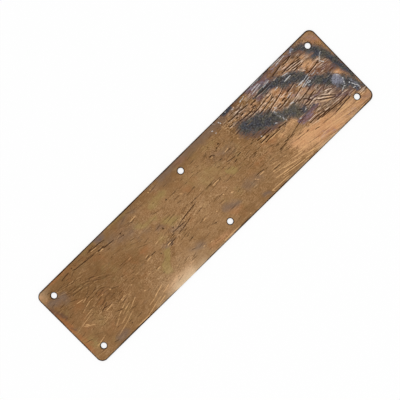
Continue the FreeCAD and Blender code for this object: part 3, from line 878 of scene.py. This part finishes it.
class Field:
    # One output socket. Sums and products of fields and numbers add Math nodes to its tree.
    def __init__(self, tree, socket):
        self.tree = tree
        self.socket = socket

    def node(self, kind, settings=None, inputs=None, output=0):
        # Adds a node: its settings first, then its sockets as numbers or links.
        made = self.tree.nodes.new(kind)
        for name, value in (settings or {}).items():
            if name == "stops":
                ramp = made.color_ramp
                while len(ramp.elements) < len(value):
                    ramp.elements.new(0.5)
                for element, (place, tone) in zip(ramp.elements, value):
                    element.position = place
                    element.color = tone
            else:
                setattr(made, name, value)
        for key, value in (inputs or {}).items():
            if isinstance(value, Field):
                self.tree.links.new(value.socket, made.inputs[key])
            else:
                made.inputs[key].default_value = value
        return Field(self.tree, made.outputs[output])

    def maths(self, operation, first, second, clamp=False):
        settings = {"operation": operation, "use_clamp": clamp}
        return self.node("ShaderNodeMath", settings, {0: first, 1: second})

    def __add__(self, other):
        return self.maths("ADD", self, other)

    __radd__ = __add__

    def __sub__(self, other):
        return self.maths("SUBTRACT", self, other)

    def __rsub__(self, other):
        return self.maths("SUBTRACT", other, self)

    def __mul__(self, other):
        return self.maths("MULTIPLY", self, other)

    __rmul__ = __mul__

    def larger(self, other):
        # The larger of the two.
        return self.maths("MAXIMUM", self, other)

    def size(self):
        # Its value without the sign.
        return self.maths("ABSOLUTE", self, 0.0)

    def held(self):
        # Kept from 0 to 1.
        return self.maths("ADD", self, 0.0, clamp=True)

    def between(self, low, high):
        # 0 below low, 1 above high, with a smooth step between.
        return self.node("ShaderNodeMapRange", {"interpolation_type": "SMOOTHSTEP"}, {
            "Value": self, "From Min": low, "From Max": high, "To Min": 0.0, "To Max": 1.0,
        })

    def mask(self, name):
        # A mask that the mesh carries.
        settings = {"attribute_type": "GEOMETRY", "attribute_name": name}
        return self.node("ShaderNodeAttribute", settings, output=2)

    def noise(self, scale, detail=3.0, turn=0.0, roughness=0.55):
        # Noise over this place field, with its scale in repeats to a millimetre, one for across
        # and one for along, turned by some degrees.
        across, along = scale if isinstance(scale, tuple) else (scale, scale)
        repeats = (across / toMetres, along / toMetres, (across + along) / 2 / toMetres)
        turned = self.node("ShaderNodeVectorRotate", {"rotation_type": "Z_AXIS"}, {
            "Vector": self, "Angle": math.radians(turn),
        })
        stretched = self.node("ShaderNodeVectorMath", {"operation": "MULTIPLY"}, {0: turned, 1: repeats})
        return self.node("ShaderNodeTexNoise", {"noise_dimensions": "3D"}, {
            "Vector": stretched, "Scale": 1.0, "Detail": detail, "Roughness": roughness,
        })

    def thin(self, low, high):
        # Thin lines where this field crosses 0: 1 nearer to it than low, and 0 beyond high.
        return 1.0 - self.size().between(low, high)

    def towards(self, other, share):
        # This field where the share is 0, the other where it is 1.
        return self + (other - self) * share

    def mixed(self, under, over):
        # A colour: under where this field is 0, over where it is 1.
        return self.node("ShaderNodeMix", {"data_type": "RGBA", "clamp_factor": True}, {
            0: self, 6: under, 7: over,
        }, output=2)


def emptyMaterial(name):
    # A material without nodes, and a field to add its nodes from.
    material = bpy.data.materials.new(name)
    material.use_nodes = True
    material.node_tree.nodes.clear()
    return material, Field(material.node_tree, None)


def useShader(shader):
    # Makes a shader the surface of its material.
    surface = shader.tree.nodes.new("ShaderNodeOutputMaterial")
    shader.tree.links.new(shader.socket, surface.inputs["Surface"])


tarnishAndPaintedLight = {
    "brown": colour(138, 103, 67),
    "deepBrown": colour(88, 54, 20),
    "shadeBrown": colour(112, 80, 46),
    "tan": colour(194, 156, 116),
    "gold": colour(214, 164, 121),
    "rust": colour(176, 108, 62),
    "olive": colour(158, 138, 84),
    "plum": colour(98, 72, 80),
    "lilac": colour(144, 136, 168),
    "haze": colour(138, 138, 150),
    # painted reflection along the right edge, also a worn corner
    "pale": colour(244, 219, 183),
    "murk": colour(94, 70, 62),
    "dull": colour(116, 99, 90),
    "stainBlack": colour(36, 38, 41),
    "stainOlive": colour(98, 97, 86),
    "stainBlue": colour(80, 86, 98),
    "stainHalo": colour(100, 88, 90),
    "stroke": colour(48, 25, 8),
    # these two light colours serve light scratches and painted highlights alike
    "scratch": colour(248, 222, 198),
    "glint": colour(218, 174, 124),
    "scuff": colour(204, 202, 200),
    # painted shade for the edges, the holes' rims and the walls
    "edge": colour(50, 30, 14),
    "backBrown": colour(112, 88, 62),
    "backDull": colour(84, 66, 50),
}

finish = {
    "metallic": 0.85,     # of the bare metal; tarnish takes from it
    "roughness": 0.46,    # of the bare metal; tarnish adds to it
    "specular": 0.1,
    "bumpStrength": 0.4,
    "bumpHeight": 0.06,   # millimetres
}


def tarnishedBrass():
    # Brass under brown tarnish, with painted shade at its edges and holes, a painted reflection along
    # the right edge and painted highlights beside dark strokes. Noise and the mesh's masks choose
    # between these colours; fine strokes come from noise that is stretched along the plate, turned
    # left or right by zone.
    material, start = emptyMaterial("agedBrass")
    place = start.node("ShaderNodeTexCoord", output=3)
    mottle = place.noise(0.06, 4.0) - 0.5
    blotch = place.noise(0.2, 4.0, turn=30, roughness=0.6) - 0.5
    grain = place.noise(0.8, 2.0, roughness=0.7) - 0.5
    leftward = start.mask("leftward").between(0.2, 0.8)
    rightward = start.mask("rightward").between(0.2, 0.8)
    busy = start.mask("busy").between(0.1, 0.9)
    gouged = start.mask("busy").between(0.5, 1.0)

    def swept(scale, detail):
        # Stretched noise that runs as the brushing does in each zone
        straight = place.noise(scale, detail, turn=1, roughness=0.6)
        left = place.noise(scale, detail, turn=-12, roughness=0.6)
        right = place.noise(scale, detail, turn=8, roughness=0.6)
        return straight.towards(left, leftward).towards(right, rightward) - 0.5

    brushed = swept((1.7, 0.13), 4.0)
    lines = swept((0.36, 0.03), 1.0)
    hairs = swept((0.75, 0.07), 1.0)
    speckle = place.noise(1.4, 2.0, roughness=0.75) - 0.5
    cloudy = blotch * 0.9 + grain * 0.6
    ragged = brushed * 1.6 + cloudy

    worn = place.noise(0.09, 2.0, turn=15).between(0.35, 0.65)
    fine = speckle * 1.7 + grain * 0.2 + swept((1.5, 0.22), 2.0) * 0.9
    contrast = 0.24 + worn * 0.3 + busy * 2.0
    tone = 0.5 + mottle * 0.3 + blotch * 0.14 + brushed * (0.1 + busy * 0.02) + fine * contrast
    tone = tone + start.mask("light").held() * 0.11
    base = tone.node("ShaderNodeValToRGB", {"stops": [
        (0.0, tarnishAndPaintedLight["deepBrown"]), (0.5, tarnishAndPaintedLight["brown"]), (1.0, tarnishAndPaintedLight["tan"]),
    ]}, {0: tone})
    hue = place.noise(0.07, 3.0, turn=70, roughness=0.6) - 0.5

    # Where each tint lies: its mask with noise added, so that its edge breaks up
    gold = (start.mask("gold") + brushed * 0.4 + cloudy * 0.5 + speckle * 0.4).between(0.15, 0.85)
    shade = (start.mask("shade") + ragged * 0.4).between(0.15, 0.85)
    warm = (start.mask("warm") + hue * 1.5 + cloudy * 0.7).between(0.05, 0.95)
    olive = (start.mask("olive") - hue * 1.5 + cloudy * 0.7).between(0.05, 0.95)
    dull = (start.mask("dull") + cloudy * 0.6).between(0.1, 0.9)
    torn = brushed * 0.8 + speckle * 1.1 + cloudy * 0.5
    plum = (start.mask("plum") + torn * 0.9).between(0.2, 0.8)
    # Painted reflection: pale light along the right edge, with a worn corner
    pale = (start.mask("pale") + ragged * 0.1).held()
    murk = (start.mask("murk") + torn * 0.8).between(0.25, 0.75)
    stain = start.mask("stain") + ragged * 0.4 + grain * 0.5
    halo = stain.between(0.15, 0.5)
    core = stain.between(0.38, 0.72)

    # Marks that lie over the tints
    broken = (blotch + brushed).between(-0.12, 0.15) * (gouged * 0.8 + 0.2)
    darkLines = lines.thin(0.015, 0.05).larger(hairs.thin(0.01, 0.045)) * broken
    # Light hairlines that run just beside the dark ones, as painted highlights
    brightLines = (lines - 0.1).thin(0.015, 0.045).larger((hairs - 0.1).thin(0.01, 0.04)) * broken
    # Light scratches, and painted highlights beside the dark strokes
    bright = (start.mask("bright") + grain * 0.3).between(0.3, 0.95) * (1 - core * 0.6)
    dark = (start.mask("dark") + grain * 0.3).between(0.3, 0.9) * (1 - core * 0.35)
    haze = (start.mask("haze") + torn * 0.9).between(0.2, 0.8)
    scuff = (start.mask("scuff") + grain * 0.9).between(0.3, 0.9)
    # Painted shade along the outline, round the holes and over the walls, thinned under the painted
    # reflection
    rim = (start.mask("rim") + grain * 0.4 - pale * 0.7).between(0.4, 0.75)
    back = start.mask("back")

    # Colours that vary
    lilac = (brushed + grain * 0.5).between(-0.05, 0.2).mixed(tarnishAndPaintedLight["plum"], tarnishAndPaintedLight["lilac"])
    shine = gouged.mixed(tarnishAndPaintedLight["glint"], tarnishAndPaintedLight["scratch"])
    blackish = blotch.between(-0.1, 0.12).mixed(tarnishAndPaintedLight["stainBlue"], tarnishAndPaintedLight["stainOlive"])
    spotted = (grain * 1.4 + brushed + speckle * 1.6).between(-0.25, 0.35)
    blackish = spotted.mixed(tarnishAndPaintedLight["stainBlack"], blackish)
    blackish = (olive * 0.1).mixed(blackish, tarnishAndPaintedLight["olive"])
    backSkin = tone.between(0.2, 0.8).mixed(tarnishAndPaintedLight["backDull"], tarnishAndPaintedLight["backBrown"])

    layers = [
        # Over the brown, from the lowest up: where each lies, how much of it shows, its colour
        (gold, 0.78 + brushed * 0.3 + speckle * 1.1, tarnishAndPaintedLight["gold"]),
        (shade, 0.55, tarnishAndPaintedLight["shadeBrown"]),
        (warm, 0.4, tarnishAndPaintedLight["rust"]),
        (olive, 0.5, tarnishAndPaintedLight["olive"]),
        (dull, 0.6, tarnishAndPaintedLight["dull"]),
        (plum, 0.75, lilac),
        # painted reflection along the right edge, and a worn corner
        (pale, 0.72, tarnishAndPaintedLight["pale"]),
        (halo, 0.5, tarnishAndPaintedLight["stainHalo"]),
        (murk, 0.55, tarnishAndPaintedLight["murk"]),
        # painted highlights beside the dark hairlines
        (brightLines, 0.5, shine),
        (darkLines, 0.75, tarnishAndPaintedLight["stroke"]),
        (core, 0.94 - speckle.between(0.08, 0.3) * 0.5, blackish),
        # light scratches, and painted highlights beside the dark strokes
        (bright, 0.88, shine),
        (dark, 0.96, tarnishAndPaintedLight["stroke"]),
        (haze, 0.75 + grain * 2.5, tarnishAndPaintedLight["haze"]),
        (scuff, 0.75 + grain * 1.5, tarnishAndPaintedLight["scuff"]),
        # painted shade at the edges and the holes' rims
        (rim, 0.95, tarnishAndPaintedLight["edge"]),
        (back, 1.0, backSkin),
    ]
    skin = base
    for mask, share, tint in layers:
        skin = (mask * share).mixed(skin, tint)

    covered = core.larger(rim).larger(dark * 0.6)
    metallic = (finish["metallic"] - covered * 0.7 - scuff * 0.3 - back * 0.2).held()
    rough = finish["roughness"] + mottle * 0.2 + brushed * 0.3 + covered * 0.12 + rim * 0.35
    roughness = (rough + back * 0.1).held()
    lumps = brushed * 0.5 + grain * 0.3 - dark * 0.8 - darkLines * 0.5 + bright * 0.2
    bumped = start.node("ShaderNodeBump", None, {
        "Strength": finish["bumpStrength"], "Distance": finish["bumpHeight"] * toMetres, "Height": lumps,
    })
    useShader(start.node("ShaderNodeBsdfPrincipled", None, {
        "Base Color": skin, "Metallic": metallic, "Roughness": roughness, "Normal": bumped,
        "Specular IOR Level": finish["specular"],
    }))
    return material


mesh.materials.append(tarnishedBrass())
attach(brassPlate, "root")
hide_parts("finger_plate")
print("plate finished")


# Floor, light and camera

studio = {
    "floorSide": 4.0,
    "floorDrop": 0.00002,   # gap below the plate, so that the two faces don't share a place
    "floorColour": (0.96, 0.96, 0.96, 1.0),
    "floorWhite": 0.7,      # how much of the floor is plain white to the camera
    "worldStrength": 0.86,
    "lampSide": 1.2,
    "lampPower": 3.6,
    "lampPlaces": [(-0.9, 0.7, 1.3), (1.0, -0.6, 1.2)],
    "lens": 50.0,
    "cameraPlace": (-0.0109, -0.0032, 0.4420),
    "cameraForward": (0.0228, -0.0047, -0.9997),
    "cameraUp": (-0.7125, 0.7013, -0.0195),
}


def shownDirectly(start):
    # 1 for rays from the camera, off metal or through glass, and 0 for the light they gather.
    camera = start.node("ShaderNodeLightPath", output="Is Camera Ray")
    glossy = start.node("ShaderNodeLightPath", output="Is Glossy Ray")
    through = start.node("ShaderNodeLightPath", output="Is Transmission Ray")
    return (camera + glossy + through).held()


def paperFloor():
    # A pale floor just under the plate. To the camera a share of it is plain white, so that the
    # plate's shadow on it stays light.
    side = studio["floorSide"] / 2
    mesh = bpy.data.meshes.new("floor")
    corners = [(-side, -side, 0), (side, -side, 0), (side, side, 0), (-side, side, 0)]
    mesh.from_pydata(corners, [], [(0, 1, 2, 3)])
    floor = bpy.data.objects.new("floor", mesh)
    floor.location.z = -studio["floorDrop"]
    bpy.context.scene.collection.objects.link(floor)
    material, start = emptyMaterial("paper")
    paper = start.node("ShaderNodeBsdfDiffuse", None, {"Color": studio["floorColour"]})
    white = start.node("ShaderNodeEmission", None, {"Color": (1.0, 1.0, 1.0, 1.0), "Strength": 1.0})
    share = shownDirectly(start) * studio["floorWhite"]
    useShader(start.node("ShaderNodeMixShader", None, {0: share, 1: paper, 2: white}))
    mesh.materials.append(material)


def lamps():
    # Wide soft lamps, each aimed at the plate's middle.
    for number, place in enumerate(studio["lampPlaces"]):
        data = bpy.data.lights.new(f"softLamp{number}", "AREA")
        data.shape = "SQUARE"
        data.size = studio["lampSide"]
        data.energy = studio["lampPower"]
        lamp = bpy.data.objects.new(data.name, data)
        lamp.location = place
        lamp.rotation_euler = (-Vector(place)).to_track_quat("-Z", "Y").to_euler()
        bpy.context.scene.collection.objects.link(lamp)


def paleWorld():
    # An even pale sky, plain white where the camera, metal or glass shows it.
    world = bpy.data.worlds.new("studio")
    world.use_nodes = True
    tree = world.node_tree
    shown = shownDirectly(Field(tree, None))
    strength = shown * (1 - studio["worldStrength"]) + studio["worldStrength"]
    tree.nodes["Background"].inputs["Color"].default_value = (1.0, 1.0, 1.0, 1.0)
    tree.links.new(strength.socket, tree.nodes["Background"].inputs["Strength"])
    bpy.context.scene.world = world


def aimCamera():
    # Straight down on the plate, with the picture's up turned so that the plate runs from the
    # lower left to the upper right.
    data = bpy.data.cameras.new("camera")
    data.lens = studio["lens"]
    data.clip_start = 0.01
    camera = bpy.data.objects.new("camera", data)
    forward = Vector(studio["cameraForward"]).normalized()
    right = forward.cross(Vector(studio["cameraUp"])).normalized()
    up = right.cross(forward)
    turn = Matrix((right, up, -forward)).transposed()
    camera.matrix_world = Matrix.Translation(studio["cameraPlace"]) @ turn.to_4x4()
    bpy.context.scene.collection.objects.link(camera)
    bpy.context.scene.camera = camera


paperFloor()
lamps()
paleWorld()
aimCamera()
bpy.context.scene.view_settings.view_transform = "Standard"
print("studio ready")
